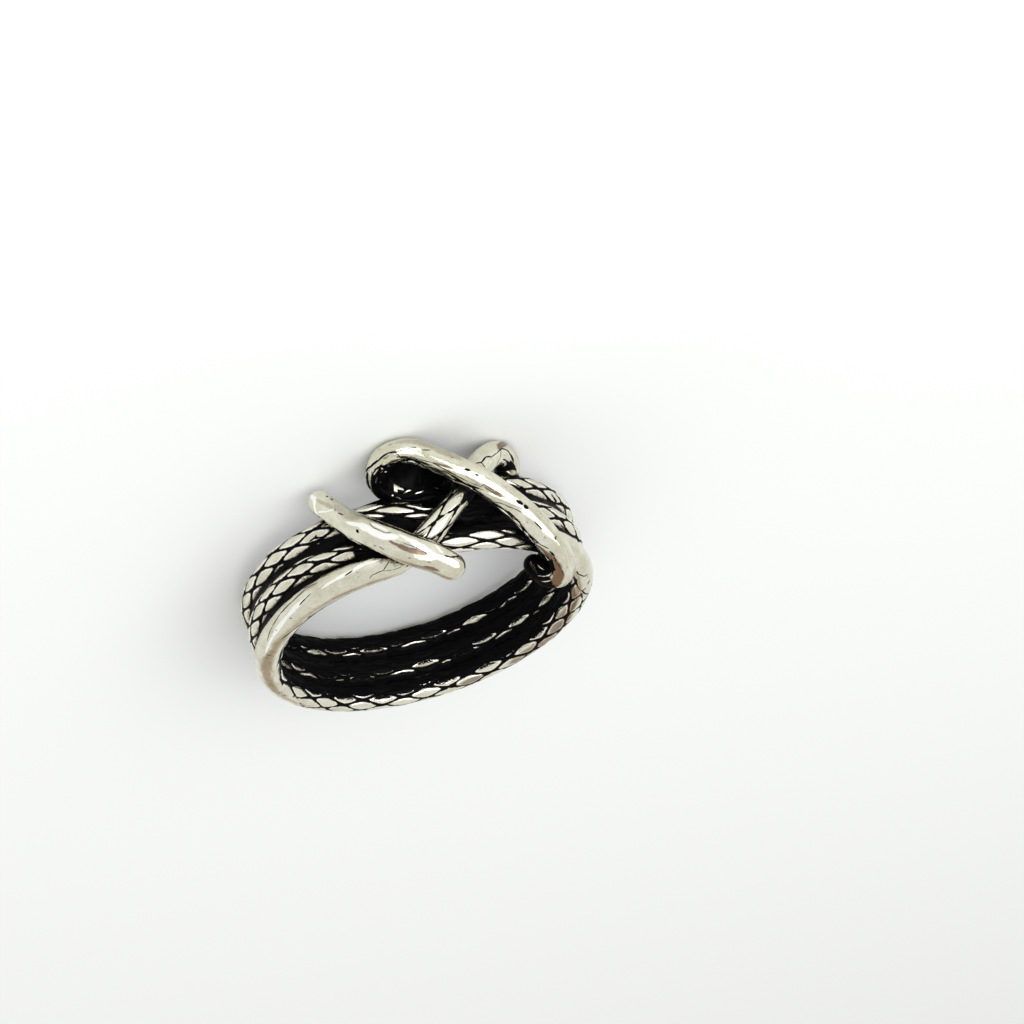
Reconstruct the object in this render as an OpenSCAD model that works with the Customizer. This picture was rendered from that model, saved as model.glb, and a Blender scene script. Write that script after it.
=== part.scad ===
// Rope ring: one scaled rope wound three times round the finger. Its two ends cross
// over the turns in an open knot, and a short smooth bar lies across the crossing.
// The ring lies on its side on the plane z = 0, with the knot towards -Y. The finger
// axis passes through the origin and stands upright, but for the lean of the lying ring.

/* [Band] */
// Inside diameter of the finger hole, mm
finger_diameter = 19; // [16:0.1:21]
// Thickness of the rope over its scales, mm
rope_thickness = 1.94; // [1.7:0.02:2.1]
// Distance between neighbouring turns, as a share of the rope's thickness
turn_spacing = 0.975; // [0.95:0.005:0.985]

/* [Scales] */
// Length of one scale along the rope, mm
scale_length = 3.25; // [3:0.05:4]
// Number of scales round the rope
scales_around = 6; // [4:1:6]
// Depth of the grooves between the scales, mm
groove_depth = 0.12; // [0.04:0.01:0.15]
// Twist of the rows of scales, degrees for each mm of rope
scale_twist = 3.7; // [0:0.1:5]

/* [Joints] */
// Thickness of the metal between the turns, measured outward from the finger, mm
web_thickness = 0.8; // [0.5:0.1:1]
// Thickness of the metal where crossing ropes touch, mm
joint_thickness = 1; // [0.7:0.1:1.2]

/* [Hidden] */

SILVER = [0.82, 0.81, 0.77];
OXIDE = [0.12, 0.12, 0.12];

rope_radius = rope_thickness / 2;
turn_pitch = rope_thickness * turn_spacing;
coil_radius = finger_diameter / 2 + rope_radius;
fill_thickness = joint_thickness / 2;

// The ring lies on its loop, its tucked end and the back of its low turn, so it leans
rest_tilt = 3.2;
rest_azimuth = 160;
REST_AXIS = [cos(rest_azimuth), sin(rest_azimuth), 0];

// Columns of the route tables: angle round the finger from the front of the knot,
// in degrees, counted on by 360 for each turn; height over the middle turn, in turns;
// lift off the coil, in rope thicknesses; girth, as a share of the rope's thickness;
// relief, as a share of the groove depth. In mm the columns are the distance round
// the coil, the height, the lift, the rope's radius and the depth of its grooves
ANGLE = 0;
ABOVE = 1;
LIFT = 2;
GIRTH = 3;
RELIEF = 4;

LOOPED_END = [
    [56.0,  1.65, -0.55, 0.78, 0],
    [57.0,  2.20, -0.25, 0.88, 0],
    [58.0,  2.35,  0.15, 0.96, 0.2],
    [56.0,  2.05,  0.50, 1.00, 0.3],
    [50.0,  1.60,  0.75, 1.00, 0.3],
    [44.0,  1.05,  0.95, 1.00, 0.3],
    [37.0,  0.50,  1.20, 0.98, 0.3],
    [30.0, -0.15,  1.40, 0.95, 0.3],
    [23.5, -0.65,  1.55, 0.93, 0.3],
    [18.0, -1.20,  1.55, 0.91, 0.3],
    [14.0, -1.60,  1.55, 0.91, 0.4],
    [ 9.0, -1.75,  1.50, 0.91, 0.6],
    [ 5.5, -1.70,  1.25, 0.91, 0.8],
    [ 3.5, -1.55,  0.90, 0.92, 1],
    [ 3.5, -1.35,  0.45, 0.94, 1],
    [ 8.0, -1.05,  0.10, 0.97, 1],
    [16.0, -1.00,  0.00, 0.98, 1],
    [40.0, -0.97, -0.05, 1.00, 1],
    [60.0, -0.98, -0.03, 1.00, 1],
    [90.0, -1.00,  0.00, 1.00, 1]];

LOW_TURN = [
    [180, -1.00,  0.00, 1.00, 1],
    [270, -1.00,  0.00, 1.00, 1],
    [315, -0.98,  0.00, 1.00, 1],
    [334, -0.86,  0.00, 0.98, 1],
    [348, -0.74,  0.00, 0.96, 1],
    [361, -0.55,  0.00, 0.94, 1],
    [369, -0.30,  0.00, 0.94, 1],
    [377, -0.05, -0.04, 0.96, 1],
    [387,  0.00,  0.00, 0.98, 1],
    [405,  0.00,  0.00, 1.00, 1],
    [450,  0.00,  0.00, 1.00, 1]];

MIDDLE_TURN = [
    [540,  0.00,  0.00, 1.00, 1],
    [630,  0.00,  0.00, 1.00, 1],
    [675,  0.00,  0.00, 1.00, 1],
    [690,  0.08,  0.00, 0.98, 1],
    [700,  0.29,  0.00, 0.96, 1],
    [710,  0.50,  0.00, 0.96, 1],
    [722,  0.70,  0.00, 0.96, 1],
    [732,  0.85,  0.00, 0.96, 1],
    [742,  0.96,  0.00, 0.98, 1],
    [755,  1.00,  0.00, 1.00, 1],
    [810,  1.00,  0.00, 1.00, 1]];

TUCKED_END = [
    [900.0,  1.00,  0.00, 1.00, 1],
    [990.0,  1.00,  0.00, 1.00, 0.6],
    [1035.0, 1.00,  0.02, 1.00, 0.2],
    [1050.0, 1.03,  0.05, 1.00, 0.2],
    [1060.0, 1.12,  0.12, 0.99, 0.2],
    [1071.0, 1.30,  0.30, 0.96, 0.3],
    [1081.0, 1.45,  0.50, 0.93, 0.4],
    [1086.0, 1.33,  0.70, 0.91, 0.6],
    [1091.0, 1.10,  0.82, 0.91, 0.7],
    [1096.5, 0.65,  0.88, 0.91, 0.8],
    [1103.0, 0.05,  0.88, 0.91, 0.8],
    [1108.5, -0.60, 0.88, 0.93, 0.8],
    [1113.0, -1.10, 0.90, 0.95, 0.8],
    [1118.0, -1.50, 0.88, 0.95, 0.8],
    [1123.0, -1.70, 0.70, 0.95, 0.8],
    [1127.5, -1.60, 0.40, 0.95, 0.8],
    [1130.5, -1.45, 0.00, 0.88, 0]];

BAR = [
    [-15.5, -1.45, 0.75, 0.88, 0],
    [-12.5, -0.90, 0.75, 0.89, 0],
    [-9.0,  -0.30, 0.80, 0.94, 0],
    [-4.5,   0.35, 1.00, 1.00, 0],
    [ 0.5,   1.00, 1.20, 1.04, 0],
    [ 5.5,   1.60, 1.25, 1.04, 0],
    [10.5,   2.00, 1.15, 1.00, 0],
    [15.0,   2.35, 0.90, 0.95, 0]];

// Where crossing ropes are joined: each row names two places by angle, height and lift
CROSSINGS = [
    [[29.5, -0.20, 1.40], [29.5, -0.68, 0.88]],
    [[47.0,  1.30, 0.85], [48.0,  1.00, 0.10]],
    [[54.0,  1.90, 0.55], [54.0,  1.05, 0.10]],
    [[-9.0, -0.35, 0.75], [-9.0, -0.70, 0.10]],
    [[ 3.0,  1.30, 1.15], [ 3.0,  1.40, 0.60]],
    [[10.0,  1.10, 0.75], [10.0,  0.82, 0.10]],
    [[22.0,  0.10, 0.80], [22.0,  0.00, 0.10]],
    [[33.0, -1.05, 0.80], [33.0, -1.00, 0.10]]];

// The hollow of the loop is closed by thin metal from its upper leg to its lower leg
LOOP_FILL = [
    [[ 6.0, -1.60, 1.10], [ 7.0, -1.20, 0.30]],
    [[10.0, -1.60, 1.20], [10.0, -1.05, 0.25]],
    [[15.0, -1.40, 1.20], [15.0, -1.00, 0.20]],
    [[21.0, -0.90, 1.20], [21.0, -0.95, 0.20]]];

// Samples taken between two rows of a route when its length is measured
FINE = 8;
// Angles at which a rounded end is cut into rings, from its widest to its tip
END_ROUNDING = [30, 58, 80];
WEB_SIDES = 48;
JOINT_SIDES = 16;

// Rings of points are a quarter of a scale apart. In one ring the points are the peaks
// of scales and the crossings of grooves by turns. In the next ring all points lie in
// grooves, half a step further round
RINGS = 4;
// Corners of a scale in clockwise order, as rings ahead of its peak and steps round
CORNERS = [[2, 0], [1, 0], [0, 1], [-1, 0], [-2, 0], [-1, -1], [0, -1], [1, -1]];

function in_mm(row) = [
    row[ANGLE] * PI / 180 * coil_radius,
    row[ABOVE] * turn_pitch,
    row[LIFT] * rope_thickness,
    row[GIRTH] * rope_radius,
    row[RELIEF] * groove_depth];

function place(spot) =
    let (angle = spot[ANGLE] / coil_radius * 180 / PI, radius = coil_radius + spot[LIFT])
    [-radius * sin(angle), -radius * cos(angle), spot[ABOVE]];

// A smooth curve through the rows of a route, whose stretches are paced by their length
function pace(a, b) = sqrt(norm([b[ANGLE] - a[ANGLE], b[ABOVE] - a[ABOVE], b[LIFT] - a[LIFT]]));

function slope(route, i) =
    let (
        last = len(route) - 1,
        before = i > 0 ? (route[i] - route[i - 1]) / pace(route[i - 1], route[i]) : undef,
        after = i < last ? (route[i + 1] - route[i]) / pace(route[i], route[i + 1]) : undef)
    i == 0 ? after
        : i == last ? before
        : let (
            back = pace(route[i - 1], route[i]),
            ahead = pace(route[i], route[i + 1]))
        (before * ahead + after * back) / (back + ahead);

function along(route, at) =
    let (
        i = min(floor(at), len(route) - 2),
        t = at - i,
        h = pace(route[i], route[i + 1]))
    route[i] * (2 * pow(t, 3) - 3 * pow(t, 2) + 1)
        + slope(route, i) * h * (pow(t, 3) - 2 * pow(t, 2) + t)
        + route[i + 1] * (3 * pow(t, 2) - 2 * pow(t, 3))
        + slope(route, i + 1) * h * (pow(t, 3) - pow(t, 2));

// Pairs of length so far and place in the route
function measured(route) =
    let (spots = [for (k = [0 : FINE * (len(route) - 1)]) place(along(route, k / FINE))])
    [for (k = 0, length = 0;
        k < len(spots);
        k = k + 1, length = length + (k < len(spots) ? norm(spots[k] - spots[k - 1]) : 0))
        [length, k / FINE]];

function unit(v) = v / norm(v);

function headings(spots) =
    let (last = len(spots) - 1)
    [for (j = [0 : last]) unit(spots[min(j + 1, last)] - spots[max(j - 1, 0)])];

// Outward directions carried along the rope without twisting it
function carried(spots, ways) =
    [for (j = 0, side = unit(cross(cross(ways[0], [spots[0][0], spots[0][1], 0]), ways[0]));
        j < len(spots);
        j = j + 1, side = j < len(spots) ? unit(side - (side * ways[j]) * ways[j]) : side)
        side];

// The same directions, turned with the rows of scales
function twisted(sides, ways, step) = [for (j = [0 : len(sides) - 1])
    cos(j * step) * sides[j] + sin(j * step) * cross(ways[j], sides[j])];

function ring(spot, way, side, radius, groove, j) =
    let (other = cross(way, side), between = j % 2)
    [for (m = [0 : 2 * scales_around - 1])
        let (
            turn = (m + between / 2) * 180 / scales_around,
            peak = between == 0 && (m + j / 2) % 2 == 0,
            reach = peak ? radius : radius - groove)
        spot + reach * (cos(turn) * side + sin(turn) * other)];

function rounded_end(spot, way, side, radius, sense) =
    [for (a = END_ROUNDING)
        ring(spot + sense * sin(a) * radius * way, way, side, radius * cos(a), 0, 0)];

// A rope as its rounded first end, its rings and its rounded last end
FIRST_END = 0;
BODY = 1;
LAST_END = 2;

function made_rope(route) =
    let (
        table = measured(route),
        length = table[len(table) - 1][0],
        last = RINGS * round(length / scale_length),
        steps = [for (j = [0 : last]) along(route, lookup(length * j / last, table))],
        spots = [for (s = steps) place(s)],
        ways = headings(spots),
        sides = twisted(carried(spots, ways), ways, scale_twist * length / last))
    [rounded_end(spots[0], ways[0], sides[0], steps[0][GIRTH], -1),
        [for (j = [0 : last]) ring(spots[j], ways[j], sides[j], steps[j][GIRTH], steps[j][RELIEF], j)],
        rounded_end(spots[last], ways[last], sides[last], steps[last][GIRTH], 1)];

function middle(ring) = [for (p = ring) 1] * ring / len(ring);

// Faces between a ring of points and the next one, which start at these point numbers
function strip(low, high, n) = [for (m = [0 : n - 1])
    let (next = (m + 1) % n)
    each [[low + m, high + m, low + next], [low + next, high + m, high + next]]];

// A stretch of rope between two of its rings as one closed solid. A scale is a fan of
// faces round its peak. An end that isn't rounded runs to a point in the next stretch
module stretch(rope, from, to) {
    n = 2 * scales_around;
    rows = to - from;
    body = rope[BODY];
    first_end = from == 0 ? rope[FIRST_END] : [];
    last_end = to == len(body) - 1 ? rope[LAST_END] : [];
    first_tip = from == 0 ? first_end[len(first_end) - 1] : body[from - 2];
    last_tip = to == len(body) - 1 ? last_end[len(last_end) - 1] : body[to + 2];
    rings = concat([for (j = [from : to]) body[j]], first_end, last_end);
    points = concat([for (r = rings) each r], [middle(first_tip), middle(last_tip)]);
    scales = [for (j = [0 : 2 : rows]) for (m = [0 : n - 1]) if ((m + (from + j) / 2) % 2 == 0)
        for (k = [0 : len(CORNERS) - 1])
            let (
                a = CORNERS[k],
                b = CORNERS[(k + 1) % len(CORNERS)],
                lowest = j + min(a[0], b[0]),
                highest = j + max(a[0], b[0]))
            if (lowest >= 0 && highest <= rows) [
                j * n + m,
                (j + a[0]) * n + (m + a[1] + n) % n,
                (j + b[0]) * n + (m + b[1] + n) % n]];
    first_ring = len(first_end) == 0 ? 0 : rows + len(first_end);
    last_ring = len(last_end) == 0 ? rows : rows + len(first_end) + len(last_end);
    first_strips = [for (k = [1 : 1 : len(first_end)])
        each strip((rows + k) * n, k == 1 ? 0 : (rows + k - 1) * n, n)];
    last_strips = [for (k = [1 : 1 : len(last_end)])
        let (outer = rows + len(first_end) + k)
        each strip(k == 1 ? rows * n : (outer - 1) * n, outer * n, n)];
    first_fan = [for (m = [0 : n - 1])
        [first_ring * n + m, first_ring * n + (m + 1) % n, len(points) - 2]];
    last_fan = [for (m = [0 : n - 1])
        [last_ring * n + (m + 1) % n, last_ring * n + m, len(points) - 1]];
    polyhedron(
        points = points,
        faces = concat(scales, first_strips, last_strips, first_fan, last_fan));
}

rope_route = [for (row = concat(LOOPED_END, LOW_TURN, MIDDLE_TURN, TUCKED_END)) in_mm(row)];
rope = made_rope(rope_route);
bar = made_rope([for (row = BAR) in_mm(row)]);
rope_last = len(rope[BODY]) - 1;

// Ring of peaks that lies nearest to a row of the rope's route
function ring_at(row) =
    let (table = measured(rope_route), share = table[row * FINE][0] / table[len(table) - 1][0])
    2 * round(share * rope_last / 2);

low_start = ring_at(len(LOOPED_END));
middle_start = ring_at(len(LOOPED_END) + len(LOW_TURN));
tuck_start = ring_at(len(LOOPED_END) + len(LOW_TURN) + len(MIDDLE_TURN));

// Height that a point of the rope gets over the middle of the coil once the ring leans
function height_leaning(p) =
    p[2] * cos(rest_tilt) + (REST_AXIS[0] * p[1] - REST_AXIS[1] * p[0]) * sin(rest_tilt);

// The middle of the coil stands so high that the leaning rope just touches z = 0
middle_height = -min([for (part = rope) for (r = part) for (p = r) height_leaning(p)]) / cos(rest_tilt);

module looped_end() {
    color(SILVER) stretch(rope, 0, low_start);
}

module low_turn() {
    color(SILVER) stretch(rope, low_start, middle_start);
}

module middle_turn() {
    color(SILVER) stretch(rope, middle_start, tuck_start);
}

module tucked_end() {
    color(SILVER) stretch(rope, tuck_start, rope_last);
}

module cross_bar() {
    color(SILVER) stretch(bar, 0, len(bar[BODY]) - 1);
}

// The turns are joined by a band of metal that lies below their crests
module web() {
    color(OXIDE)
        rotate_extrude($fn = WEB_SIDES)
            translate([coil_radius - web_thickness / 2, -turn_pitch])
                square([web_thickness, 2 * turn_pitch]);
}

module neck(pair, thickness) {
    hull() {
        for (row = pair)
            translate(place(in_mm([row[ANGLE], row[ABOVE], row[LIFT], 1, 0])))
                sphere(d = thickness, $fn = JOINT_SIDES);
    }
}

module joints() {
    color(OXIDE)
        for (pair = CROSSINGS)
            neck(pair, joint_thickness);
}

module loop_fill() {
    color(OXIDE)
        for (k = [0 : len(LOOP_FILL) - 2])
            hull() {
                neck(LOOP_FILL[k], fill_thickness);
                neck(LOOP_FILL[k + 1], fill_thickness);
            }
}

module rope_ring() {
    rotate(a = rest_tilt, v = REST_AXIS)
        translate([0, 0, middle_height])
            union() {
                looped_end();
                low_turn();
                middle_turn();
                tucked_end();
                cross_bar();
                web();
                joints();
                loop_fill();
            }
}

rope_ring();
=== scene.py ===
"""The looks of a silver rope ring that lies on its side.

The ring is modelled round its own coil: the middle turn's centre is the origin, the
finger axis is Z and the knot is towards -Y. It is then put into the pose in which it
lies. Lengths are in metres where nothing else is said.
"""

import math

import bmesh
import bpy
import numpy as np
from mathutils import Matrix, Vector, noise
from mathutils.bvhtree import BVHTree


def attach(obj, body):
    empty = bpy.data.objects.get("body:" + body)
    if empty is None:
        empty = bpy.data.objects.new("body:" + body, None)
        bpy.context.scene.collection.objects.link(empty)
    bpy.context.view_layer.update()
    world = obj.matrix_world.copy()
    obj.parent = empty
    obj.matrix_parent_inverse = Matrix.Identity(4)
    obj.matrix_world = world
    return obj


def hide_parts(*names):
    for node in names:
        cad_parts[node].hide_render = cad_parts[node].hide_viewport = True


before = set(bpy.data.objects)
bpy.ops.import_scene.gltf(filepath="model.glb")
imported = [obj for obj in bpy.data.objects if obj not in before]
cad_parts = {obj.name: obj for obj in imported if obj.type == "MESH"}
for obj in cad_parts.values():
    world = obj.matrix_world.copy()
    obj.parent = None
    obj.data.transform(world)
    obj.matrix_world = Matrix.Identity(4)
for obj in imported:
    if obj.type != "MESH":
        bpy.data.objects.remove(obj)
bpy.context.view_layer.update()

MM = 0.001

# Band
FINGER_DIAMETER = 19.0 * MM
ROPE_THICKNESS = 1.94 * MM
TURN_SPACING = 0.975
ROPE_RADIUS = ROPE_THICKNESS / 2
TURN_PITCH = ROPE_THICKNESS * TURN_SPACING
COIL_RADIUS = FINGER_DIAMETER / 2 + ROPE_RADIUS

# Scales
SCALE_LENGTH = 3.25 * MM
SCALES_AROUND = 6
GROOVE_DEPTH = 0.15 * MM

# Joints
WEB_THICKNESS = 0.8 * MM
JOINT_THICKNESS = 1.0 * MM
FILL_THICKNESS = JOINT_THICKNESS / 2

# The ring lies on its loop, its tucked end and the back of its low turn, so it leans
REST_TILT = math.radians(3.2)
REST_AZIMUTH = math.radians(160)

# Columns of the route tables: angle round the finger from the front of the knot, in
# degrees; height over the middle turn, in turns; lift off the coil, in rope
# thicknesses; girth, as a share of the rope's thickness; relief, as a share of the
# groove depth. In metres the first is the distance round the coil, and the girth is the
# rope's radius
ANGLE, ABOVE, LIFT, GIRTH, RELIEF = range(5)

LOOPED_END = [
    [56, 1.65, -0.55, 0.78, 0],
    [57, 2.2, -0.25, 0.88, 0],
    [58, 2.35, 0.15, 0.96, 0.2],
    [56, 2.05, 0.5, 1, 0.3],
    [50, 1.6, 0.75, 1, 0.3],
    [44, 1.05, 0.95, 1, 0.3],
    [37, 0.5, 1.2, 0.98, 0.3],
    [30, -0.15, 1.4, 0.95, 0.3],
    [23.5, -0.65, 1.55, 0.93, 0.3],
    [18, -1.2, 1.55, 0.91, 0.3],
    [14, -1.6, 1.55, 0.91, 0.3],
    [9, -1.75, 1.5, 0.91, 0.3],
    [5.5, -1.7, 1.25, 0.91, 0.3],
    [3.5, -1.55, 0.9, 0.92, 0.5],
    [3.5, -1.35, 0.45, 0.94, 1],
    [8, -1.05, 0.1, 0.97, 1],
    [16, -1, 0, 0.98, 1],
    [40, -0.97, -0.05, 1, 1],
    [60, -0.98, -0.03, 1, 1],
    [90, -1, 0, 1, 1]]

LOW_TURN = [
    [180, -1, 0, 1, 1],
    [270, -1, 0, 1, 1],
    [315, -0.98, 0, 1, 1],
    [334, -0.86, 0, 0.98, 1],
    [348, -0.74, 0, 0.96, 1],
    [361, -0.55, 0, 0.94, 1],
    [369, -0.3, 0, 0.94, 1],
    [377, -0.05, -0.04, 0.96, 1],
    [387, 0, 0, 0.98, 1],
    [405, 0, 0, 1, 1],
    [450, 0, 0, 1, 1]]

MIDDLE_TURN = [
    [540, 0, 0, 1, 1],
    [630, 0, 0, 1, 1],
    [675, 0, 0, 1, 1],
    [690, 0.08, 0, 0.98, 1],
    [700, 0.29, 0, 0.96, 1],
    [710, 0.5, 0, 0.96, 1],
    [722, 0.7, 0, 0.96, 1],
    [732, 0.85, 0, 0.96, 1],
    [742, 0.96, 0, 0.98, 1],
    [755, 1, 0, 1, 1],
    [768, 1, 0, 1, 0.9],
    [779, 1, 0, 1, 0.35],
    [816, 1, 0, 1, 0.35],
    [830, 1, 0, 1, 0.6]]

TUCKED_END = [
    [900, 1, 0, 1, 0.65],
    [950, 1, 0, 1, 0.6],
    [985, 1, 0, 1, 0.35],
    [1035, 1, 0.02, 1, 0.2],
    [1050, 1.03, 0.05, 1, 0.2],
    [1060, 1.12, 0.12, 0.99, 0.2],
    [1071, 1.3, 0.3, 0.96, 0.3],
    [1081, 1.45, 0.5, 0.93, 0.3],
    [1086, 1.33, 0.7, 0.91, 0.5],
    [1091, 1.1, 0.82, 0.91, 0.55],
    [1096.5, 0.65, 0.88, 0.91, 0.55],
    [1103, 0.05, 0.88, 0.91, 0.55],
    [1108.5, -0.6, 0.88, 0.93, 0.4],
    [1113, -1.1, 0.9, 0.95, 0],
    [1118, -1.5, 0.88, 0.95, 0],
    [1123, -1.7, 0.7, 0.95, 0],
    [1127.5, -1.6, 0.4, 0.95, 0],
    [1130.5, -1.45, 0, 0.88, 0]]

BAR = [
    [-15.5, -1.45, 0.75, 0.88, 0],
    [-12.5, -0.9, 0.75, 0.89, 0],
    [-9, -0.3, 0.8, 0.94, 0],
    [-4.5, 0.35, 1, 1, 0],
    [0.5, 1, 1.2, 1.04, 0],
    [5.5, 1.6, 1.25, 1.04, 0],
    [10.5, 2, 1.15, 1, 0],
    [15, 2.35, 0.9, 0.95, 0]]

# Where crossing ropes are joined: each row names two places by angle, height and lift
CROSSINGS = [
    [[29.5, -0.2, 1.4], [29.5, -0.68, 0.88]],
    [[47, 1.3, 0.85], [48, 1, 0.1]],
    [[54, 1.9, 0.55], [54, 1.05, 0.1]],
    [[-9, -0.35, 0.75], [-9, -0.7, 0.1]],
    [[3, 1.3, 1.15], [3, 1.4, 0.6]],
    [[10, 1.1, 0.75], [10, 0.82, 0.1]],
    [[22, 0.1, 0.8], [22, 0, 0.1]],
    [[33, -1.05, 0.8], [33, -1, 0.1]]]

# The hollow of the loop is closed by thin metal from its upper leg to its lower leg
LOOP_FILL = [
    [[6, -1.6, 1.1], [7, -1.2, 0.3]],
    [[10, -1.6, 1.2], [10, -1.05, 0.25]],
    [[15, -1.4, 1.2], [15, -1, 0.2]],
    [[21, -0.9, 1.2], [21, -0.95, 0.2]]]

# Where the rows of scales lie, found at the places that show. Columns: number of half
# scales from the rope's start; distance along the rope in mm; turn round it in degrees
SCALE_MARKS = [
    [0, 0, 120],
    [4, 6.1, 117],
    [6, 9.6, 105],
    [8, 13.1, 100],
    [18, 29.8, 162],
    [45, 72.6, 349],
    [48, 77.2, 366],
    [53, 85.5, 387],
    [60, 97, 400],
    [87, 140.1, 566],
    [91, 146.5, 590],
    [97, 156.3, 630],
    [137, 221.8, 864],
    [140, 227.3, 878],
    [142, 230.2, 886]]

# Lines of the mesh across one scale, as shares of its width: close beside the grooves
SCALE_LINES = [0, 0.04, 0.09, 0.17, 0.32, 0.5, 0.68, 0.83, 0.91, 0.96]
# Half the length of the short groove between two scales that lie end to end, as a share
# of half a scale
TIP_GAP = 0.13
# How round a scale's two tips and its four other corners are
TIP_ROUNDING = 0.15
CORNER_ROUNDING = 0.34 * MM
# Width over which a scale's rim falls to the groove, and how flat its face is
RIM = 0.15 * MM
FLATNESS = 0.6
# How far a scale's face may lean along and across the rope, in radians
LEAN_ALONG = 0.03
LEAN_ACROSS = 0.10
# How far the lattice of scales is out of true, in half scales and in rows
WANDER_ALONG = 0.10
WANDER_ROUND = 0.14
WANDER_LENGTH = 2.2 * MM
# Hammered hollows of the metal: depth and length, and those of the worn stretches
UNEVENNESS = 0.010 * MM
UNEVEN_LENGTH = 1.1 * MM
WORN_UNEVENNESS = 0.05 * MM
WORN_LENGTH = 2.4 * MM
# The metal lies this much below the nominal thickness, to leave room for its hollows
SINK = 0.075 * MM

# Hollows in the worn metal. Columns: distance along the rope in mm, turn round it in
# degrees, length and width in mm, tilt in degrees, and depth in mm
HOLLOWS = [
    [9.75, 134, 1.5, 0.4, -18, 0.06],
    [12.95, 143, 1.4, 0.3, -11, 0.045],
    [11.4, 128, 1.8, 0.35, -10, 0.035],
    [7.9, 150, 1.6, 0.4, -20, 0.035],
    [6, 118, 1.8, 0.5, -10, 0.04],
    [14.6, 158, 1.6, 0.5, 0, 0.035],
    [4.6, 150, 1.5, 0.6, 0, 0.03],
    [307.6, 12, 3, 1, 0, 0.12],
    [304.8, 30, 3.4, 0.9, 4, 0.09],
    [305.7, 338, 1.8, 0.4, 12, 0.045],
    [309.5, 25, 1.6, 1.3, 0, 0.07],
    [300.9, 356, 1.4, 0.7, 0, 0.05],
    [303.2, 20, 1.6, 0.6, 0, 0.035],
    [308.9, 340, 1.5, 0.5, -15, 0.04],
    [309.2, 50, 1.6, 0.6, 0, 0.035],
    [205.5, 75, 2, 0.6, 8, 0.035],
    [208.2, 62, 2.2, 0.5, -6, 0.04],
    [211.8, 60, 2, 0.45, -8, 0.045],
    [214, 85, 1.8, 0.5, -15, 0.045],
    [217.6, 70, 2.4, 0.4, 0, 0.035],
    [225.6, 75, 1.6, 0.7, 10, 0.08],
    [227.2, 115, 1.2, 0.6, 60, 0.06]]
# Where a hollow starts and where it has its whole depth, as shares of its half length
HOLLOW_EDGE = (1.3, 0.2)

# What each point of the rope knows: depth inside its scale in mm, relief, the scale's
# own random number, distance along the rope in mm, the turn's cosine and sine, and the
# way out of the rope
FIELDS = ("inside", "relief", "tone", "along", "cosine", "sine", "out_x", "out_y", "out_z")
# The bar's distances start here, so that they aren't the rope's
BAR_START = 300.0

# Samples between two rows of a route, and between two half scales
ROUTE_SAMPLES = 24
FRAME_SAMPLES = 8
# Where the rings of a rounded end lie, in degrees from its rim
END_ROUNDING = [15, 30, 45, 58, 70, 80]
# How far each seed moves the noise
SEED_STEP = np.array([17.3, -5.1, 9.7])


def place(spots):
    """Points of the coil frame from distance round the coil, height and lift."""
    angle = spots[:, ANGLE] / COIL_RADIUS
    radius = COIL_RADIUS + spots[:, LIFT]
    return np.column_stack([-radius * np.sin(angle), -radius * np.cos(angle), spots[:, ABOVE]])


def in_metres(rows):
    """The angle, height and lift of rows as distance round the coil, height and lift."""
    return np.column_stack([
        np.radians(rows[:, ANGLE]) * COIL_RADIUS,
        rows[:, ABOVE] * TURN_PITCH,
        rows[:, LIFT] * ROPE_THICKNESS])


def units(vectors):
    return vectors / np.linalg.norm(vectors, axis=1, keepdims=True)


def columns_at(places, known, table):
    """The columns of a table, read between the places at which they are known."""
    return np.column_stack([np.interp(places, known, column) for column in table.T])


def bumps(points, length, seed):
    """Smooth noise from -1 to 1 at each point, with bumps about one length across."""
    shifted = points / length + seed * SEED_STEP
    return np.array([noise.noise(p) for p in shifted])


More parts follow.
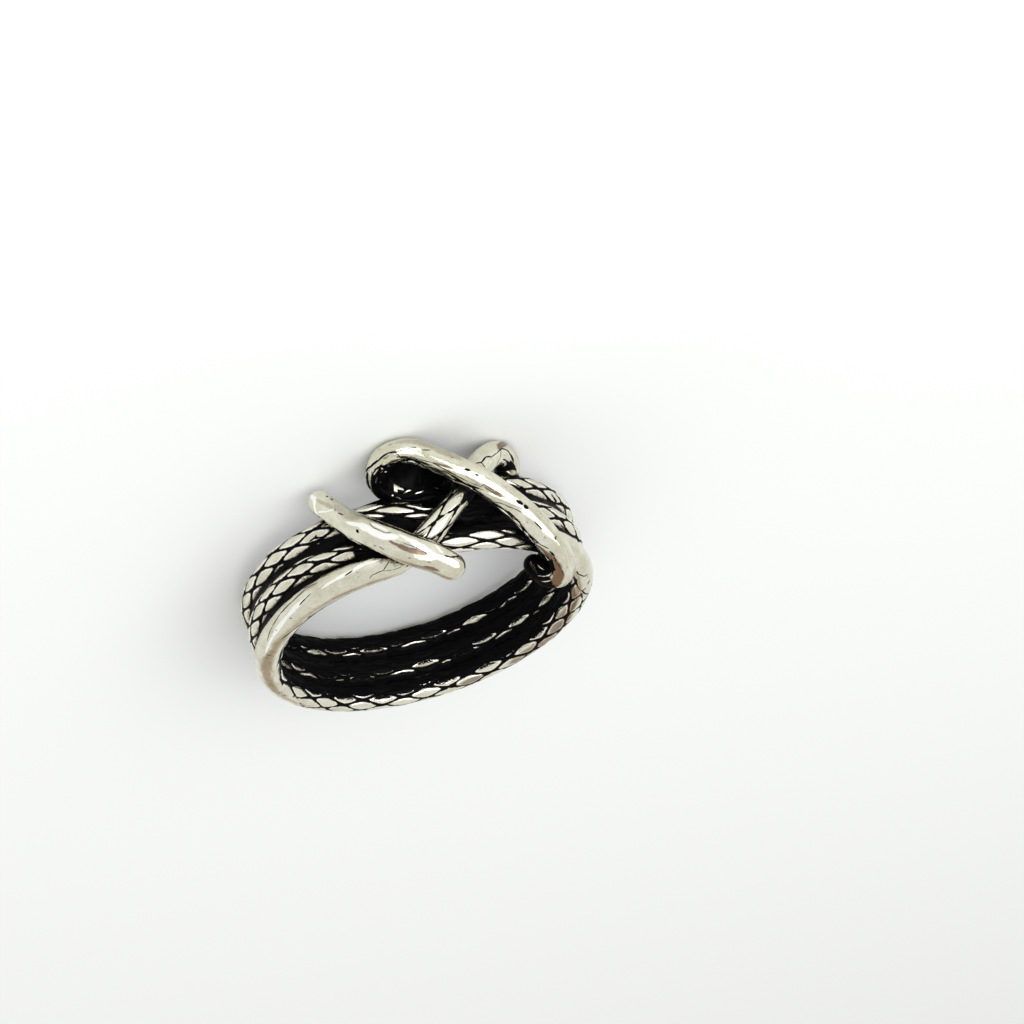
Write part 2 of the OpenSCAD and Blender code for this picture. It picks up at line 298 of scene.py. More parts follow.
class Rope:
    """A rope along a route. Its stations are counted in half scales from its start."""

    def __init__(self, rows, marks=None, start=0.0):
        table = np.array(rows, float)
        self.rows = np.column_stack([
            in_metres(table), table[:, GIRTH] * ROPE_RADIUS, table[:, RELIEF]])
        gaps = np.diff(self.rows, axis=0)
        self.paces = np.sqrt(np.linalg.norm(gaps[:, :GIRTH], axis=1))
        rates = gaps / self.paces[:, None]
        before = self.paces[:-1, None]
        after = self.paces[1:, None]
        inner = (rates[:-1] * after + rates[1:] * before) / (before + after)
        self.slopes = np.vstack([rates[:1], inner, rates[-1:]])
        self.places = np.linspace(0, len(rows) - 1, ROUTE_SAMPLES * (len(rows) - 1) + 1)
        steps = np.linalg.norm(np.diff(place(self.through(self.places)), axis=0), axis=1)
        self.lengths = np.concatenate([[0], np.cumsum(steps)])
        total = self.lengths[-1]
        if marks is None:
            halves = 2 * round(total / SCALE_LENGTH)
            marks = [[0, 0, 0], [halves, total / MM, 0]]
        self.mark_stations, places, self.mark_turns = np.array(marks, float).T
        self.mark_places = places * (total / places[-1])
        self.halves = int(self.mark_stations[-1])
        self.half_length = total / self.halves
        self.start = start
        self.carry_frames()

    def through(self, places):
        """A smooth curve through the rows, whose stretches are paced by their length."""
        i = np.clip(places.astype(int), 0, len(self.rows) - 2)
        t = (places - i)[:, None]
        pace = self.paces[i][:, None]
        return (self.rows[i] * (2 * t**3 - 3 * t**2 + 1)
                + self.slopes[i] * pace * (t**3 - 2 * t**2 + t)
                + self.rows[i + 1] * (3 * t**2 - 2 * t**3)
                + self.slopes[i + 1] * pace * (t**3 - t**2))

    def length_at(self, halves):
        return np.interp(halves, self.mark_stations, self.mark_places)

    def turn_at(self, halves):
        """How far the rows of scales are turned round the rope, in radians."""
        return np.radians(np.interp(halves, self.mark_stations, self.mark_turns))

    def station(self, halves):
        """The route's row at stations counted in half scales."""
        return self.through(np.interp(self.length_at(halves), self.lengths, self.places))

    def carry_frames(self):
        """Directions along and across the rope, carried along it without a twist."""
        self.stations = np.linspace(0, self.halves, self.halves * FRAME_SAMPLES + 1)
        spots = place(self.station(self.stations))
        self.ways = units(np.gradient(spots, axis=0))
        outward = np.array([spots[0, 0], spots[0, 1], 0])
        side = np.cross(np.cross(self.ways[0], outward), self.ways[0])
        sides = []
        for way in self.ways:
            side = side - (side @ way) * way
            side = side / np.linalg.norm(side)
            sides.append(side)
        self.sides = np.array(sides)

    def frames_at(self, halves):
        way = units(columns_at(halves, self.stations, self.ways))
        side = columns_at(halves, self.stations, self.sides)
        side = units(side - np.sum(side * way, axis=1, keepdims=True) * way)
        return way, side, np.cross(way, side)

    def mark_of_row(self, row):
        """The whole number of half scales nearest to a row of the route."""
        length = np.interp(row, self.places, self.lengths)
        return round(np.interp(length, self.mark_places, self.mark_stations))


def turned(turn, centre):
    """The turn from a centre, in radians from -pi to pi."""
    return np.angle(np.exp(1j * (turn - centre)))


def smoothstep(low, high, value):
    t = np.clip((value - low) / (high - low), 0, 1)
    return t * t * (3 - 2 * t)


def random_of(a, b, seed):
    """A number from 0 to 1 that belongs to scale a, b. The numbers here only mix digits."""
    mixed = np.sin(a * 12.9898 + np.mod(b, 2 * SCALES_AROUND) * 78.233 + seed * 37.719)
    return np.mod(mixed * 43758.5453, 1)


def scales_at(a, b, half_length, row_width):
    """The scales at stations a and rows b: depth inside the scale, and its middle.

    A scale is a long six-sided cell: two sides along the rope, and two tips.
    """
    slant_along = (1 - 2 * TIP_GAP) * half_length
    slant = np.hypot(slant_along, row_width)
    depth = np.full(a.shape, -1.0)
    middle_a = np.zeros(a.shape)
    middle_b = np.zeros(a.shape)
    for column in (np.floor(a), np.floor(a) + 1):
        row = 2 * np.round((b - column % 2) / 2) + column % 2
        along = np.abs(a - column)
        across = np.abs(b - row)
        rounded = np.hypot(across, TIP_ROUNDING)
        to_slant = (
            (1 - TIP_GAP - along) * half_length * row_width
            - rounded * row_width * slant_along) / slant
        to_side = (1 - across) * row_width
        corner = np.maximum(0, 1 - np.abs(to_slant - to_side) / CORNER_ROUNDING)
        here = np.minimum(to_slant, to_side) - corner**2 * CORNER_ROUNDING / 4
        nearer = here > depth
        depth = np.where(nearer, here, depth)
        middle_a = np.where(nearer, column, middle_a)
        middle_b = np.where(nearer, row, middle_b)
    return np.maximum(depth, 0), middle_a, middle_b


# The way that faces away from the band: how far outward it points where the rope isn't
# lifted, and how far up or down for each turn of height
AWAY_OUTWARD = 0.6
AWAY_UPWARD = 0.5
# The rope gets worn between these cosines to that way. Its sheltered side has this many
# times the route's relief
WORN = (-0.15, 0.4)
SHELTERED = 3.5


def worn_relief(rows, spots, outward):
    """The relief of the scales, less on the side that faces away from the band."""
    radial = units(spots * np.array([1, 1, 0]))
    rise = rows[:, ABOVE] / TURN_PITCH
    lift = rows[:, LIFT] / ROPE_THICKNESS
    away = radial * (AWAY_OUTWARD + np.maximum(lift, 0))[:, None]
    away = units(away + np.column_stack([0 * rise, 0 * rise, AWAY_UPWARD * rise]))
    worn = smoothstep(*WORN, np.sum(away * outward, axis=1))
    relief = rows[:, RELIEF]
    return np.minimum(1, SHELTERED * relief) * (1 - worn) + relief**2 * worn


def hollows(along, turn, girth):
    """How deep the hollows are at places along the rope and turns round it."""
    depth = np.zeros(len(along))
    for middle, degrees, length, width, tilt, deepest in HOLLOWS:
        ahead = along - middle
        aside = turned(turn, math.radians(degrees)) * girth / MM
        lean_cos = math.cos(math.radians(tilt))
        lean_sin = math.sin(math.radians(tilt))
        far = np.hypot(
            (ahead * lean_cos + aside * lean_sin) / (length / 2),
            (aside * lean_cos - ahead * lean_sin) / (width / 2))
        depth = np.maximum(depth, deepest * MM * smoothstep(*HOLLOW_EDGE, far))
    return depth


def surface(rope, a, b, push=0.0, shrink=1.0, bare=False):
    """Points of the rope's skin at stations a and rows b, with the fields of each."""
    rows = rope.station(a)
    way, side, other = rope.frames_at(a)
    spots = place(rows)

    def out_at(turn):
        return np.cos(turn)[:, None] * side + np.sin(turn)[:, None] * other

    turn = b * math.pi / SCALES_AROUND + rope.turn_at(a)
    rough = spots + rows[:, GIRTH, None] * out_at(turn)
    turn = turn + WANDER_ROUND * math.pi / SCALES_AROUND * bumps(rough, WANDER_LENGTH, 2)
    if not bare:
        wander = WANDER_ALONG * bumps(rough, WANDER_LENGTH, 3) * fade(a, rope)
        there = np.clip(a + wander, 0, rope.halves)
        rows = rope.station(there)
        way, side, other = rope.frames_at(there)
        spots = place(rows)
    outward = out_at(turn)
    radius = rows[:, GIRTH] * shrink - SINK
    row_width = rows[:, GIRTH] * math.pi / SCALES_AROUND
    inside, middle_a, middle_b = scales_at(a, b, rope.half_length, row_width)
    relief = worn_relief(rows, spots, outward)
    if bare:
        inside = np.ones(len(a)) * MM
        relief = relief * 0
    face = smoothstep(0, RIM, inside) * relief
    across = b - middle_b
    row_angle = math.pi / SCALES_AROUND
    flat = radius * (1 - math.cos(row_angle) / np.cos(across * row_angle))
    lean_along = LEAN_ALONG * (2 * random_of(middle_a, middle_b, 1) - 1)
    lean_across = LEAN_ACROSS * (2 * random_of(middle_a, middle_b, 2) - 1)
    lean = (a - middle_a) * rope.half_length * lean_along + across * row_width * lean_across
    depth = GROOVE_DEPTH * relief * (1 - smoothstep(0, RIM, inside))
    depth = depth + face * (FLATNESS * flat + lean)
    depth = depth - UNEVENNESS * bumps(rough, UNEVEN_LENGTH, 4)
    depth = depth + WORN_UNEVENNESS * (1 - relief) * np.maximum(0, bumps(rough, WORN_LENGTH, 5))
    along = rope.start + rope.length_at(a) / MM
    depth = depth + hollows(along, turn, rows[:, GIRTH])
    points = spots + (radius - depth)[:, None] * outward + push * way
    fields = np.column_stack([
        inside / MM, relief, random_of(middle_a, middle_b, 3), along, np.cos(turn), np.sin(turn),
        outward])
    return points, fields


def fade(a, rope):
    """0 at the rope's ends and 1 from a whole scale away from them."""
    return smoothstep(0, 2, a) * smoothstep(0, 2, rope.halves - a)


def rope_stretch(rope, first, last, name):
    """One stretch of rope between two whole stations, as a closed mesh.

    The mesh lines follow the two families of grooves, which run round the rope both
    ways. Vertex (i, k) lies on line i of one family and line k - i of the other.
    """
    lines = len(SCALE_LINES)
    around = SCALES_AROUND * lines
    rows = (last - first) * lines
    i, k = np.meshgrid(np.arange(around), np.arange(rows + 1), indexing="ij")
    j = k - i + (first + 1) * lines
    shares = np.array(SCALE_LINES)
    u = i // lines + shares[i % lines]
    v = j // lines + shares[j % lines]
    a = u + v - 1
    b = (u - v).ravel()
    a[:, 0] = first
    a[:, -1] = last
    points, fields = surface(rope, a.ravel(), b)

    index = i * (rows + 1) + k
    right = np.roll(index, -1, axis=0)
    faces = np.stack([index[:, :-2], right[:, 1:-1], right[:, 2:], index[:, 1:-1]], axis=-1)
    faces = list(faces.reshape(-1, 4))
    faces += list(np.stack([index[:, 0], right[:, 0], right[:, 1]], axis=-1))
    faces += list(np.stack([index[:, -2], right[:, -1], index[:, -1]], axis=-1))

    points = [points]
    fields = [fields]
    count = around * (rows + 1)
    for sense, station, ring in ((-1, first, index[:, 0]), (1, last, index[:, -1])):
        ring_b = b[ring]
        at = np.full(around, float(station))
        if station in (0, rope.halves):
            middle = rope.station(at[:1])
            way = rope.frames_at(at[:1])[0][0]
            girth = middle[0, GIRTH] - SINK
            for degrees in END_ROUNDING:
                slope = math.radians(degrees)
                push = sense * girth * math.sin(slope)
                cap, known = surface(rope, at, ring_b, push, math.cos(slope), True)
                new = np.arange(count, count + around)
                faces += strip(ring, new, sense)
                points.append(cap)
                fields.append(known)
                ring = new
                count += around
            tip = place(middle)[0] + sense * girth * way
        else:
            tip = place(rope.station(at[:1] + sense))[0]
        faces += fan(ring, count, sense)
        points.append(tip[None])
        fields.append(fields[-1][:1])
        count += 1
    return mesh_object(name, np.vstack(points), faces, np.vstack(fields))


def strip(ring, new, sense):
    """Faces between the last ring and a new one, towards the start (-1) or the end (1)."""
    here = np.roll(ring, -1)
    there = np.roll(new, -1)
    corners = [ring, here, there, new] if sense > 0 else [new, there, here, ring]
    return list(np.stack(corners, axis=-1))


def fan(ring, tip, sense):
    here = np.roll(ring, -1)
    if sense > 0:
        return [(a, b, tip) for a, b in zip(ring, here)]
    return [(tip, b, a) for a, b in zip(ring, here)]


def add_field(mesh, name, values):
    layer = mesh.attributes.new(name, "FLOAT", "POINT")
    layer.data.foreach_set("value", values.astype(np.float32))


def object_of(name, data):
    """An object in the scene from a mesh, a camera or a light."""
    made = bpy.data.objects.new(name, data)
    bpy.context.scene.collection.objects.link(made)
    return made


def mesh_object(name, points, faces, fields=None):
    """An object from points and faces. Its fields are columns named in FIELDS."""
    mesh = bpy.data.meshes.new(name)
    mesh.from_pydata(np.round(points, 8).tolist(), [], [tuple(map(int, f)) for f in faces])
    if fields is None:
        fields = np.zeros((len(points), len(FIELDS)))
        fields[:, FIELDS.index("inside")] = -1
    for label, column in zip(FIELDS, fields.T):
        add_field(mesh, label, column)
    mesh.update()
    return object_of(name, mesh)


def web():
    """The band of metal that joins the turns, below their crests."""
    segments = 240
    angle = np.arange(segments) * 2 * math.pi / segments
    inner = COIL_RADIUS - WEB_THICKNESS / 2
    outer = COIL_RADIUS + WEB_THICKNESS / 2
    top = TURN_PITCH
    corners = [(inner, -top), (outer, -top), (outer, top), (inner, top)]
    points = []
    for radius, height in corners:
        points.append(np.column_stack([
            radius * np.cos(angle), radius * np.sin(angle), np.full(segments, height)]))
    faces = []
    for c in range(len(corners)):
        low = np.arange(segments) + c * segments
        high = np.arange(segments) + (c + 1) % len(corners) * segments
        faces += strip(low, high, 1)
    return mesh_object("web", np.vstack(points), faces)


def hull_of_balls(name, spots, diameter):
    """The hull of equal balls at places given by angle, height and lift.

    It is worked out in mm, so that its numbers aren't tiny.
    """
    centres = place(in_metres(np.array(spots, float))) / MM
    ball = bmesh.new()
    bmesh.ops.create_icosphere(ball, subdivisions=2, radius=diameter / MM / 2)
    shape = bmesh.new()
    for centre in centres:
        for vertex in ball.verts:
            shape.verts.new(Vector(centre) + vertex.co)
    ball.free()
    made = bmesh.ops.convex_hull(shape, input=shape.verts)
    inner = made["geom_interior"] + made["geom_unused"]
    spare = {element for element in inner if isinstance(element, bmesh.types.BMVert)}
    bmesh.ops.delete(shape, geom=list(spare), context="VERTS")
    shape.verts.index_update()
    points = np.array([v.co for v in shape.verts]) * MM
    faces = [[v.index for v in f.verts] for f in shape.faces]
    shape.free()
    return mesh_object(name, points, faces)


def fused(name, parts):
    """One body from closed parts that overlap."""
    body = parts[0]
    for other in parts[1:]:
        joined = body.modifiers.new("fuse", "BOOLEAN")
        joined.operation = "UNION"
        joined.solver = "MANIFOLD"
        joined.object = other
        shapes = bpy.context.evaluated_depsgraph_get()
        mesh = bpy.data.meshes.new_from_object(body.evaluated_get(shapes))
        body.modifiers.clear()
        body.data = mesh
        bpy.data.objects.remove(other)
    drop_twin_faces(body.data)
    body.name = name
    return body


def drop_twin_faces(mesh):
    """Removes faces that lie back to back on the same points."""
    shape = bmesh.new()
    shape.from_mesh(mesh)
    twins = {}
    for face in shape.faces:
        twins.setdefault(frozenset(face.verts), []).append(face)
    spare = [face for faces in twins.values() if len(faces) > 1 for face in faces]
    bmesh.ops.delete(shape, geom=spare, context="FACES")
    shape.to_mesh(mesh)
    shape.free()


# Crevices are found by rays: how many, how far off the surface they start, and their reach
RAYS = 12
RAY_START = 0.06 * MM
RAY_REACH = 1.6 * MM
GOLDEN_ANGLE = math.radians(137.508)
# A way along which no face looks, to find the ways across a face
ASKEW = np.array([0.31, 0.52, 0.8])


def field_of(mesh, name):
    values = np.zeros(len(mesh.vertices), np.float32)
    mesh.attributes[name].data.foreach_get("value", values)
    return values


def points_of(mesh):
    points = np.zeros(len(mesh.vertices) * 3, np.float32)
    mesh.vertices.foreach_get("co", points)
    return points.reshape(-1, 3).astype(float)


def openness(mesh, points, outward):
    """How far one can look out from each point, from 0 in a crevice to 1 in the open."""
    tree = BVHTree.FromPolygons(points.tolist(), [tuple(p.vertices) for p in mesh.polygons])
    known = np.nonzero(np.linalg.norm(outward, axis=1) > 0.5)[0]
    normal = units(outward[known])
    side = units(np.cross(normal, ASKEW))
    other = np.cross(normal, side)
    starts = points[known] + normal * RAY_START
    seen = np.zeros(len(known))
    for ray in range(RAYS):
        across = math.sqrt((ray + 0.5) / RAYS)
        turn = ray * GOLDEN_ANGLE
        ways = (
            across * math.cos(turn) * side
            + across * math.sin(turn) * other
            + math.sqrt(1 - across**2) * normal)
        for n, (start, way) in enumerate(zip(starts.tolist(), ways.tolist())):
            distance = tree.ray_cast(start, way, RAY_REACH)[3]
            seen[n] += 1 if distance is None else distance / RAY_REACH
    free = np.zeros(len(points))
    free[known] = seen / RAYS
    return free


# Fields of oxide are positive where there is some, and stay between these
NO_OXIDE = -3.0
MOST_OXIDE = 3.0
# On the inside it lies from here to there, in degrees past straight up, and its field
# rises by 1 over the third angle
OXIDE_FROM = 62
OXIDE_TO = 152
OXIDE_FADE = 16
# It reaches farther on the turns below the top one, which starts between these heights,
# in turns. It ends this far out from the coil
TOP_TURN = (0.55, 0.85)
OXIDE_REACH = 0.6 * ROPE_THICKNESS

# Stretches of rope in recesses that are black. Columns: from and to along the rope in mm,
# from this turn round it, and to these turns at the stretch's start and end, in degrees
RECESSES = [
    [-1, 1.8, -10, 400, 400],
    [1.6, 3.6, 20, 92, 92],
    [12.2, 15.4, -40, 62, 76],
    [15.1, 16.4, -40, 68, 106],
    [16.1, 17.2, -40, 96, 150],
    [16.9, 17.7, -40, 134, 163],
    [17.4, 19.2, -40, 152, 164],
    [18.9, 20.3, -40, 162, 180],
    [20, 26.6, -40, 176, 176],
    [84.2, 88, -60, 9, 9],
    [86.9, 88, -60, 48, 40],
    [84.6, 88, 90, 200, 200],
    [87.7, 93.6, -10, 400, 400],
    [148.5, 153.6, -10, 400, 400],
    [147.6, 148.8, 95, 260, 260],
    [153, 158.8, -40, 46, 46],
    [159.6, 161.5, 55, 300, 300],
    [222.4, 223.6, 75, 300, 300],
    [228.2, 231, 125, 400, 400]]
# Over this way, in mm along and in radians round the rope, the black fades out
FADE_ALONG = 0.25
FADE_ROUND = 0.16
# The hook at the rope's start, of so many mm, keeps its silver where it isn't in a recess
HOOK_LENGTH = 5.0


def recess(along, turn):
    """Positive inside the black stretches, by the distance to their edge."""
    most = np.full(len(along), NO_OXIDE)
    for start, end, low, high_at_start, high_at_end in RECESSES:
        within = np.minimum(along - start, end - along) / FADE_ALONG
        high = np.interp(along, [start, end], [high_at_start, high_at_end])
        centre = np.radians((low + high) / 2)
        half = np.radians((high - low) / 2)
        aside = np.abs(turned(turn, centre))
        most = np.maximum(most, np.minimum(within, (half - aside) / FADE_ROUND))
    return most


def inward_oxide(points, outward):
    """Positive on the faces of the rope that look into the finger hole."""
    radial = units(points * np.array([1, 1, 0]) + 1e-12)
    past_up = np.degrees(np.arctan2(-np.sum(outward * radial, axis=1), outward[:, 2]))
    middle = (OXIDE_FROM + OXIDE_TO) / 2
    half = (OXIDE_TO - OXIDE_FROM) / 2
    inner = (half - np.abs(past_up - middle)) / OXIDE_FADE
    top_turn = smoothstep(*TOP_TURN, points[:, 2] / TURN_PITCH)
    near = np.hypot(points[:, 0], points[:, 1]) < COIL_RADIUS + OXIDE_REACH
    inner = inner + np.where(past_up > 0, 1 - top_turn, 0)
    return np.where(near, inner, NO_OXIDE)


STRETCHES = {
    "looped_end": LOOPED_END, "low_turn": LOW_TURN, "middle_turn": MIDDLE_TURN,
    "tucked_end": TUCKED_END}
rope = Rope(sum(STRETCHES.values(), []), SCALE_MARKS)
bar = Rope(BAR, None, BAR_START)
# The stretches meet at whole stations
row_counts = np.cumsum([len(rows) for rows in STRETCHES.values()])
splits = [0] + [rope.mark_of_row(count) for count in row_counts[:-1]] + [rope.halves]

parts = [web()]
parts += [hull_of_balls("joint", pair, JOINT_THICKNESS) for pair in CROSSINGS]
for near, far in zip(LOOP_FILL, LOOP_FILL[1:]):
    parts.append(hull_of_balls("fill", near + far, FILL_THICKNESS))
for name, first, last in zip(STRETCHES, splits, splits[1:]):
    parts.append(rope_stretch(rope, first, last, name))
parts.append(rope_stretch(bar, 0, bar.halves, "cross_bar"))
ring = fused("silver_ring", parts)

WAY_OUT = ("out_x", "out_y", "out_z")
points = points_of(ring.data)
outward = np.column_stack([field_of(ring.data, name) for name in WAY_OUT]).astype(float)
add_field(ring.data, "open", openness(ring.data, points, outward))
along = field_of(ring.data, "along")
turn = np.arctan2(field_of(ring.data, "sine"), field_of(ring.data, "cosine"))
oxide = np.where(along > HOOK_LENGTH, inward_oxide(points, outward), NO_OXIDE)
add_field(ring.data, "inner", np.clip(oxide, NO_OXIDE, MOST_OXIDE))
add_field(ring.data, "recess", np.clip(recess(along, turn), NO_OXIDE, MOST_OXIDE))
for name in WAY_OUT:
    ring.data.attributes.remove(ring.data.attributes[name])

# From the frame of the coil to the pose in which the ring lies
lean_axis = Vector((math.cos(REST_AZIMUTH), math.sin(REST_AZIMUTH), 0))
lean = Matrix.Rotation(REST_TILT, 4, lean_axis)
lowest = (points @ np.array(lean.to_3x3()).T)[:, 2].min()
lie = lean @ Matrix.Translation((0, 0, -lowest / math.cos(REST_TILT)))
ring.data.transform(lie)
ring.data.shade_smooth()


class Shading:
    """Short calls that add nodes to a material or world. An input is a socket or a value."""

    def __init__(self, owner):
        owner.use_nodes = True
        self.tree = owner.node_tree

    def put(self, socket, value):
        if isinstance(value, bpy.types.NodeSocket):
            self.tree.links.new(value, socket)
        else:
            socket.default_value = value

    def fill(self, node, inputs):
        for name, value in inputs.items():
            self.put(node.inputs[name], value)

    def node(self, kind, inputs, **settings):
        made = self.tree.nodes.new(kind)
        for name, value in settings.items():
            setattr(made, name, value)
        self.fill(made, inputs)
        return made

    def maths(self, operation, *values):
        made = self.node("ShaderNodeMath", {}, operation=operation)
        for socket, value in zip(made.inputs, values):
            self.put(socket, value)
        return made.outputs[0]

    def times(self, a, b):
        return self.maths("MULTIPLY", a, b)

    def less(self, a, b):
        return self.maths("SUBTRACT", a, b)

    def most(self, a, b):
        return self.maths("MAXIMUM", a, b)

    def plus(self, value, *shares):
        """The value and shares of others. Each share is a pair: how much, and of what."""
        for share, other in shares:
            value = self.maths("MULTIPLY_ADD", other, share, value)
        return value

    def band(self, value, start, full, last, end):
        """1 from full to last, and 0 before the start and after the end."""
        return self.times(self.step(value, start, full), self.step(value, end, last))

    def step(self, value, low, high):
        """A smooth step from 0 to 1."""
        inputs = {"Value": value, "From Min": low, "From Max": high}
        made = self.node("ShaderNodeMapRange", inputs, interpolation_type="SMOOTHSTEP")
        return made.outputs[0]

    def field(self, name):
        return self.node("ShaderNodeAttribute", {}, attribute_name=name).outputs["Fac"]

    def joined(self, x, y, z):
        return self.node("ShaderNodeCombineXYZ", {"X": x, "Y": y, "Z": z}).outputs[0]

    def speckle(self, where, scale, detail=2.0):
        """Noise, mostly from -1 to 1."""
        made = self.node("ShaderNodeTexNoise", {
            "Vector": where, "Scale": scale, "Detail": detail, "Roughness": NOISE_ROUGHNESS})
        return self.plus(-2.0, (4.0, made.outputs["Fac"]))

    def mix(self, share, low, high):
        made = self.node("ShaderNodeMix", {}, data_type="RGBA")
        self.put(made.inputs["Factor"], share)
        for socket, value in zip([s for s in made.inputs if s.type == "RGBA"], (low, high)):
            self.put(socket, value)
        return [s for s in made.outputs if s.type == "RGBA"][0]


# Small black marks on the worn metal. Columns: distance along the rope in mm, turn round
# it in degrees, length and width in mm, tilt in degrees, and strength
DENTS = [
    [6.13, 154, 0.75, 0.1, 0, 1],
    [5.33, 142, 0.16, 0.08, 20, 0.6],
    [7.6, 176, 0.42, 0.28, -10, 1],
    [8.12, 174, 0.5, 0.26, -15, 1],
    [11.11, 168, 0.3, 0.13, -20, 0.9],
    [11.69, 171, 0.34, 0.2, -15, 1],
    [14.9, 170, 0.26, 0.1, -10, 0.8],
    [209.08, 79, 0.19, 0.1, 30, 0.8],
    [204.92, 101, 0.38, 0.07, 80, 0.9],
    [204.6, 100, 0.16, 0.09, 0, 0.8],
    [204.06, 109, 0.13, 0.08, 0, 0.7],
    [209.9, 131, 0.35, 0.12, 10, 0.8],
    [214.2, 39, 0.5, 0.11, -20, 1],
    [304.17, 19, 0.3, 0.2, 30, 1],
    [306.03, 48, 0.4, 0.12, 5, 0.5],
    [305.53, 50, 0.25, 0.11, -10, 0.5],
    [302.25, 346, 0.45, 0.12, -8, 0.9],
    [301.7, 345, 0.25, 0.09, 40, 0.7],
    [300.45, 312, 0.22, 0.16, 0, 0.9],
    [300.85, 308, 0.26, 0.2, 0, 0.9],
    [303.75, 302, 0.9, 0.1, 12, 0.8],
    [308.7, 34, 0.16, 0.1, 0, 0.5],
    [307.7, 41, 0.16, 0.1, 0, 0.5]]

# Trails are long marks, by the places they pass. Columns: distance along the rope in mm,
# turn round it in degrees, and width in hundredths of a mm on the way to the next place.
# Cracks are black
CRACKS = [
    [[17.8, 190, 16], [17.4, 171, 18], [16.9, 158, 15], [16.2, 160, 14], [15.85, 152, 6],
     [15.4, 159, 5], [14.95, 170, 5]],
    [[14.4, 171, 7], [14, 186, 4]],
    [[15.85, 144, 8], [15.6, 113, 12], [15.1, 80, 12], [14.6, 76, 11], [13.9, 103, 9],
     [13.4, 116, 9], [12.7, 110, 9], [12.3, 103, 9], [11.9, 84, 10]],
    [[15.05, 129, 5], [14.4, 127, 6], [13.5, 137, 8], [12.9, 133, 9], [12, 128, 7],
     [11.3, 124, 6], [10.5, 131, 5]],
    [[12.8, 171, 3], [12, 153, 3], [11.4, 140, 3], [10.6, 136, 3]],
    [[11.8, 82, 12], [11.3, 90, 12], [10.8, 84, 10], [10.3, 103, 8], [9.9, 98, 7],
     [9.3, 105, 7], [8.8, 127, 6], [8.2, 139, 6], [7.6, 148, 5]],
    [[10.5, 134, 6], [10.35, 147, 6], [9.6, 147, 5], [9.2, 155, 4]],
    [[8.4, 100, 9], [8, 99, 12], [7.6, 99, 13], [7.2, 112, 6]],
    [[7.3, 84, 10], [6.6, 76, 10], [5.9, 70, 10], [5.5, 78, 10], [5.2, 100, 9],
     [4.7, 124, 10]],
    [[4.4, 122, 16], [4.15, 123, 6], [3.5, 113, 5], [2.8, 121, 5], [2.3, 138, 5]],
    [[165.8, 136, 12], [166.3, 137, 12], [166.85, 121, 12], [167, 101, 8]],
    [[168.7, 118, 12], [169, 133, 14], [169.6, 115, 12], [169.9, 94, 8]],
    [[80.15, 84, 14], [80.5, 81, 20], [80.7, 86, 12], [80.95, 92, 14]],
    [[80.62, 76, 16], [80.54, 84, 10]],
    [[27.4, 62, 6], [27.75, 72, 10], [28.1, 82, 16], [28.5, 88, 14]],
    [[31.15, 76, 12], [31.45, 84, 22], [31.8, 93, 16]],
    [[97.3, 92, 10], [97.7, 97, 16], [98.4, 96, 16]],
    [[211.8, 18, 7], [211, 14, 9], [209.9, 28, 10], [208.5, 35, 8], [207.5, 48, 6],
     [206.2, 67, 4]],
    [[211.2, 48, 5], [210.8, 53, 9], [210.3, 60, 5]],
    [[207, 111, 8], [208.2, 126, 11], [209.2, 137, 12], [210.6, 138, 10], [212.6, 142, 8]],
    [[215.3, 89, 6], [215.5, 80, 6], [216.2, 74, 7], [216.8, 46, 5]],
    [[216.2, 78, 5], [216.7, 86, 5], [217.3, 93, 4]],
    [[304.7, 327, 5], [305.2, 344, 6], [305.6, 342, 5], [306, 345, 6], [306.3, 334, 4]],
    [[307.2, 354, 4], [307.8, 352, 5], [308.2, 358, 5], [308.6, 7, 5]],
    [[309.3, 345, 12], [309.6, 338, 13], [309.95, 322, 12], [310.1, 306, 10]],
    [[224.9, 40, 10], [225.3, 62, 13], [225.9, 62, 11], [226.2, 80, 8], [226.7, 83, 8],
     [227.2, 76, 10], [227.6, 88, 13], [228, 106, 20], [228.6, 122, 24]],
    [[227.1, 82, 6], [226.8, 110, 6], [226, 140, 10], [225.4, 150, 10]],
    [[227.2, 128, 12], [227.9, 140, 24], [228.6, 148, 24]],
    [[225.3, 62, 10], [225.2, 84, 8]]]

# Painted highlights: patches of paler silver, placed where the photo has highlights
PAINTED_HIGHLIGHTS = [
    [[303.2, 4, 26], [304.2, 352, 46], [305, 355, 46], [305.6, 2, 42], [306.2, 357, 36],
     [306.6, 344, 20]],
    [[304.9, 328, 22], [305.9, 332, 22]],
    [[306.9, 330, 24], [307.6, 335, 42], [307.95, 343, 46], [308.35, 355, 44],
     [308.75, 1, 30]],
    [[300.65, 42, 10], [301.3, 11, 10], [301.6, 346, 9]],
    [[300, 353, 18], [300.3, 30, 18], [300.6, 60, 16]],
    [[308.7, 318, 14], [309.05, 334, 14]],
    [[214.5, 33, 30], [215.3, 19, 50], [216.1, 14, 36]],
    [[212.2, 51, 16], [213.3, 44, 24], [214.6, 34, 20]],
    [[205, 84, 18], [207, 76, 30], [209, 64, 30], [210.6, 54, 18]]]

# Painted reflections of brown and dark things, in the colour of tarnish
PAINTED_REFLECTIONS = [
    [[306.5, 8, 18], [307, 10, 34], [307.6, 11, 42], [308, 9, 34], [308.3, 8, 12]],
    [[308.6, 60, 26], [309.3, 56, 26]],
    [[13.4, 138, 16], [12.9, 144, 20], [12.4, 149, 10]],
    [[10.2, 138, 16], [9.7, 138, 22], [9.2, 144, 16]],
    [[310.1, 319, 34], [310.2, 312, 30]],
    [[227.8, 52, 50], [227.3, 62, 36], [227.1, 72, 16]]]
